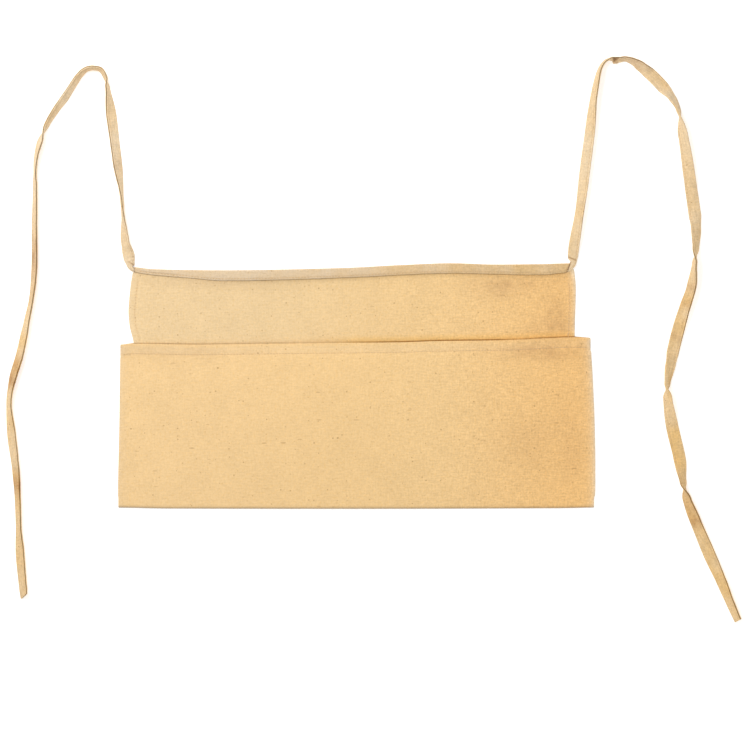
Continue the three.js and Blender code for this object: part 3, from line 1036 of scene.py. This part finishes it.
def strip_outline():
    """The folded strip's section, as points across it and through it, with the slit at its open edge."""
    w, t = STRIP_WIDTH / 2, STRIP_THICKNESS / 2
    gap, set_back = STRIP_GAPE, 0.35 * MM
    r = (t - gap) / 2
    insets = np.array((1.6, 2.0, 2.4, 2.8, 3.3, 4.5)) * MM
    shares = np.array((0.15, -0.05, -0.25, -0.45, -0.65))
    points = [(w - STRIP_SLIT, 0.0), (w - 2.4 * MM, -0.5 * gap), (w - r, -gap)]
    points += arc(w - r, -gap - r, r, 90, -90, 6)[1:]
    points += [(across, -t) for across in (*(w - insets), *(shares * w))]
    points += arc(-w + t, 0, t, 270, 90, 9)
    points += [(across, t) for across in (*(shares[::-1] * w), *(w - insets[::-1]))]
    points += arc(w - set_back - r, gap + r, r, 90, -90, 6)
    points += [(w - 2.4 * MM, 0.5 * gap)]
    return np.array(points)


def flatter_roll(roll):
    """The turn at which this rounded strip looks as wide as one with square corners does at a given turn."""
    half_turns = np.floor(roll / math.pi)
    rest = roll - half_turns * math.pi
    square = STRIP_WIDTH * np.abs(np.cos(rest)) + STRIP_THICKNESS * np.sin(rest)
    share = np.clip((square - STRIP_THICKNESS) / (STRIP_WIDTH - STRIP_THICKNESS), 0, 1)
    turned = np.arccos(share)
    return half_turns * math.pi + np.where(rest < math.pi / 2, turned, math.pi - turned)


class Tie:
    """A tie's strip along its route, and the place of any point of the strip."""

    def __init__(self, rows, gather, leaving, seed, slant):
        curve, places = smooth_route(rows)
        run = run_along(curve)
        self.length = run[-1]
        count = int(self.length / TIE_STATION) + 1
        self.along = np.linspace(0, self.length, count)
        self.seed, self.slant = seed, slant
        self.gathered = read(gather, "along", self.along, "share")
        x, y = (np.interp(self.along, run, curve[:, k]) for k in (0, 1))
        self.centre = np.stack([x, y, np.zeros(count)], 1)
        forward = unit(np.gradient(self.centre, self.along, axis=0))
        turning = ease(6 * MM, 0, self.along)[:, None]
        self.forward = forward = unit(forward * (1 - turning) + np.array(leaving) * turning)
        at = np.interp(self.along, run, places)
        row = np.clip(np.floor(at).astype(int), 0, len(rows["x"]) - 2)
        share = ease(0, 1, at - row)
        blended = lambda key: rows[key][row] * (1 - share) + rows[key][row + 1] * share
        self.fold = blended("fold")
        self.roll = flatter_roll(np.radians(blended("roll"))) + 0.03 * self.unevenness(0.03, 0)
        up = np.array((0.0, 0.0, 1.0))
        cos, sin = np.cos(self.roll)[:, None], np.sin(self.roll)[:, None]
        self.across = np.cross(up, forward) * cos + up * sin
        self.through = np.cross(forward, self.across)
        self.lift = np.zeros(count)
        rings = self.rings(strip_outline())
        self.lift = TIE_CLEARANCE - rings[..., 2].min(axis=1)

    def unevenness(self, size, kind):
        """Noise along the strip, with features of about the given size."""
        return cloud(self.along, self.along * 0, size, self.seed + kind)

    def bent(self, across, through):
        """A section's points where the strip is cupped or doubled over lengthwise."""
        cup = 0.10 + 0.16 * self.unevenness(0.05, 1)
        angle = np.maximum(self.fold * FOLD_ANGLE + cup, 0.02)[:, None]
        soft = 1.6 * MM
        a = np.abs(across)[None, :]
        near = np.minimum(a, soft)
        flat = soft / angle * np.sin(angle * near / soft) + np.maximum(a - soft, 0) * np.cos(angle)
        rise = soft / angle * (1 - np.cos(angle * near / soft)) + np.maximum(a - soft, 0) * np.sin(angle)
        side = np.sign(across)[None, :]
        lean = angle * np.clip(across / soft, -1, 1)[None, :]
        thin = 1 - 0.2 * self.fold[:, None]
        return side * flat - np.sin(lean) * through * thin, rise + np.cos(lean) * through * thin

    def rings(self, section):
        """Every station's section in place, with uneven width, puckers at the stitching and the cut end."""
        across, through = section[:, 0], section[:, 1]
        uneven = self.gathered * (1 + 0.03 * self.unevenness(0.02, 2))
        pucker = 0.12 * MM * self.unevenness(0.0035, 3)
        stitched = bell(across - STRIP_WIDTH / 2 + STRIP_STITCH_INSET, 0.6 * MM)
        pinched = through[None, :] * (1 - 0.28 * stitched)[None, :]
        open_side = ease(0, STRIP_WIDTH / 2, across)[None, :]
        a, b = self.bent(across, through)
        b = b + (pinched - through[None, :]) + pucker[:, None] * open_side
        a = a * uneven[:, None]
        moved = self.across[:, None] * a[..., None] + self.through[:, None] * b[..., None]
        near_end = ease(CUT_REACH, 0, self.length - self.along)
        cut = self.slant * (0.5 + across / STRIP_WIDTH)[None, :] * near_end[:, None]
        placed = self.centre[:, None] + moved - self.forward[:, None] * cut[..., None]
        placed[..., 2] += self.lift[:, None]
        creased, _ = crease_at(placed[..., 0], placed[..., 1])
        placed[..., 2] -= creased * ease(1 * MM, 2 * MM, placed[..., 2])
        return placed


def tie_tint(along, across, through, rings, stains_and_shade, tan_share):
    """The strip's canvas: cloudy between pale and tan, stained in places, with painted shade in the right
    tie's pleat, along its creases and inside its slit.
    """
    colour = mix(STRIP_PALE, STRIP_TAN, tan_share(along) + 0.35 * cloud(along, across, 0.014, 61))
    colour = colour * (1 + 0.05 * cloud(along, across * 1.5, 0.005, 63))[..., None]
    patchy = 0.8 + 0.4 * cloud(along, across * 2, 0.007, 62)
    # Stains, and painted shade in the opening of the right tie's pleat
    for place, reach, strength in zip(*stains_and_shade.values()):
        colour = toned(colour, STAIN_AND_SHADE_TONE, strength * bell(along - place, reach) * patchy)
    # Painted shade inside the slit between the strip's layers
    inside = (np.abs(through) <= 1.01 * STRIP_GAPE) & (across > STRIP_WIDTH / 2 - 1.01 * STRIP_SLIT)
    # Painted shade along the creases
    _, creased = crease_at(rings[..., 0], rings[..., 1])
    return toned(toned(colour, CREASE_SHADE, creased), SLIT_SHADE, inside)


def tie_strip(name, node, tie, stains_and_shade, tan_share, finish):
    """A tie's strip, which leaves the band's end and is free at the other."""
    section = strip_outline()
    rings = tie.rings(section)
    grid = lambda column: np.repeat(column[None, :], len(tie.along), 0)
    along = np.repeat(tie.along[:, None], len(section), 1)
    across, through = grid(section[:, 0]), grid(section[:, 1])
    under = np.where(through < 0, 0.05, 0.0)
    place = np.stack([along, across + under, 0 * along], -1)
    made = ring_mesh(name, rings, place, tie_tint(along, across, through, rings, stains_and_shade, tan_share))
    dressed(made, finish, node)


# Stitching

def stitch_mesh(name, starts, ends, normals, finish, slot):
    """Stitches as one mesh: each a short thread, arched off the cloth and sunk into it at its ends."""
    sides = 6
    shares = np.array([0, 0.12, 0.35, 0.65, 0.88, 1])
    rise = np.array([-0.22, 0.02, 0.14, 0.14, 0.02, -0.22]) * MM
    girth = np.array([0.55, 0.9, 1, 1, 0.9, 0.55]) * THREAD
    normal = unit(normals)
    beside = np.cross(unit(ends - starts), normal)
    points, places = [], []
    for share, up, radius in zip(shares, rise, girth):
        middle = starts + (ends - starts) * share + normal * up
        for k in range(sides):
            angle = 2 * math.pi * k / sides
            points.append(middle + (beside * math.cos(angle) + normal * math.sin(angle)) * radius)
            side = np.full(len(starts), k * MM)
            places.append(np.stack([middle[:, 0] + middle[:, 1], side, starts[:, 0]], 1))
    points, places = np.stack(points, 1), np.stack(places, 1)
    count = len(shares) * sides
    faces = []
    for first in range(0, len(starts) * count, count):
        for ring in range(first, first + count - sides, sides):
            for k in range(sides):
                a, b = ring + k, ring + (k + 1) % sides
                faces.append((a, a + sides, b + sides, b))
        faces.append(tuple(range(first, first + sides)))
        faces.append(tuple(range(first + count - 1, first + count - 1 - sides, -1)))
    made = make_mesh(name, points.reshape(-1, 3), faces, places.reshape(-1, 3), smooth_angle=80)
    return dressed(made, finish)


def stitch_run(points, normals):
    """Starts, ends and normals of evenly pitched stitches along a line of close points."""
    run = run_along(points)
    first = np.arange(0.6 * MM, run[-1] - STITCH, STITCH_PITCH)
    place = lambda at, values: np.stack([np.interp(at, run, values[:, k]) for k in range(3)], 1)
    return place(first, points), place(first + STITCH, points), place(first + STITCH / 2, normals)


def surface_line(x, y, height):
    """Points of a line on a cloth's upper side, with the cloth's normals."""
    z = height(x, y)
    step = 0.2 * MM
    slope_x = (height(x + step, y) - height(x - step, y)) / (2 * step)
    slope_y = (height(x, y + step) - height(x, y - step)) / (2 * step)
    return np.stack([x, y, z], 1), unit(np.stack([-slope_x, -slope_y, np.ones_like(x)], 1))


def join_runs(lines):
    """The stitches of several lines together, each line given by its points and their normals."""
    return [np.concatenate(parts) for parts in zip(*(stitch_run(*line) for line in lines))]


def cloth_stitches(finish):
    """The stitches of the mouth's hem, the side hems and the band, and bars at the mouth's right end."""
    skin = CLOTH / 2 + 0.6 * THREAD
    front = lambda x, y: pocket_front(x, y) + skin
    panel = lambda x, y: panel_height(x, y) + skin
    band = lambda x, y: BAND_TOP + band_face(x, y) + 0.6 * THREAD
    mouth_x = np.linspace(-0.2375, 0.2355, 900)
    mouth_run = surface_line(mouth_x, mouth_at(mouth_x) - MOUTH_HEM + 0.8 * MM, front)
    side_y = np.linspace(0.0455, 0.107, 200)
    left, right = sides_at(PANEL_SIDES, side_y)
    inset = SIDE_HEM - 1.6 * MM
    side_runs = [surface_line(left + inset, side_y, panel), surface_line(right - inset, side_y, panel)]
    for bar_x in (0.2140, 0.2165, 0.2190):
        x = np.full(8, bar_x)
        bar_y = mouth_at(x) + 1 * MM + np.linspace(0, 5 * MM, 8)
        side_runs.append(surface_line(x, bar_y, panel))
    band_x = np.linspace(-0.221, 0.216, 900)
    band_run = surface_line(band_x, band_at(band_x, "bottom") + BAND_STITCH_INSET, band)
    pieces = [
        ("pocket_stitches", "canvas", [mouth_run]),
        ("panel_stitches", "canvas", side_runs),
        ("band_stitches", "strip_canvas", [band_run]),
    ]
    return [stitch_mesh(name, *join_runs(runs), finish, slot) for name, slot, runs in pieces]


def tie_stitches(name, tie, finish):
    """The line of stitches beside the tie's open edge, on both of its faces."""
    lines = []
    inset = STRIP_WIDTH / 2 - STRIP_STITCH_INSET
    keep = (tie.along > 9 * MM) & (tie.along < tie.length - 4 * MM)
    for face in (1, -1):
        out = face * (STRIP_THICKNESS / 2 + 0.2 * THREAD)
        line = tie.rings(np.array([(inset, out), (inset, out + face * 0.5 * MM)]))[keep]
        lines.append((line[:, 0], unit(line[:, 1] - line[:, 0])))
    return stitch_mesh(name, *join_runs(lines), finish, "strip_canvas")


# The camera, the light and the floor

def make_camera():
    data = bpy.data.cameras.new("camera")
    data.sensor_width = SENSOR
    data.lens = CAMERA_HEIGHT * SENSOR / PHOTO_SPAN
    data.clip_end = 40
    camera = bpy.data.objects.new("camera", data)
    camera.location = (*PHOTO_CENTRE, CAMERA_HEIGHT)
    bpy.context.scene.collection.objects.link(camera)
    bpy.context.scene.camera = camera


def area_light(name, place, size, power):
    data = bpy.data.lights.new(name, "AREA")
    data.shape = "DISK"
    data.size = size
    data.energy = power
    light = bpy.data.objects.new(name, data)
    light.location = place
    light.rotation_euler = (-Vector(place)).to_track_quat("-Z", "Y").to_euler()
    bpy.context.scene.collection.objects.link(light)


def make_stage():
    world = bpy.data.worlds.new("studio")
    world.use_nodes = True
    background = world.node_tree.nodes["Background"]
    background.inputs["Color"].default_value = (1.0, 0.995, 0.985, 1)
    background.inputs["Strength"].default_value = 0.58
    bpy.context.scene.world = world
    area_light("key_light", (-0.75, 0.95, 1.5), 0.9, 22)
    area_light("fill_light", (0.9, -0.9, 1.5), 1.4, 6)
    bpy.context.scene.view_settings.view_transform = "Standard"
    bpy.ops.mesh.primitive_plane_add(size=8, location=(0, 0, -0.0003))
    floor = bpy.context.object
    floor.name = "floor"
    floor.data.materials.append(floor_material())


make_camera()
canvas = canvas_material("unbleached_canvas", 0.85, True)
strip_canvas = canvas_material("strip_canvas_weave", 0.6, False)
thread = thread_material()

left_tie = Tie(TIE_LEFT, GATHER_LEFT, (-1.0, 0.0, 0.0), 71, 5 * MM)
right_tie = Tie(TIE_RIGHT, GATHER_RIGHT, (1.0, 0.0, 0.0), 81, 1 * MM)
left_stitches = tie_stitches("left_tie_stitches", left_tie, thread)
right_stitches = tie_stitches("right_tie_stitches", right_tie, thread)
tie_strip("left_tie_strip", "tie_left", left_tie, STAINS_LEFT,
          lambda along: 0.25 + 0.55 * ease(0.3, 0.6, along), strip_canvas)
tie_strip("right_tie_strip", "tie_right", right_tie, STAINS_AND_SHADE_RIGHT,
          lambda along: 0.35 + 0.65 * ease(0.25, 0.7, along), strip_canvas)

panel = panel_cloth(canvas)
hems = [side_hem(side + "_side_hem", side, canvas) for side in ("left", "right")]
pocket = pocket_cloth(canvas)
band_strip(strip_canvas)
pocket_stitches, panel_stitches, _ = cloth_stitches(thread)

make_stage()
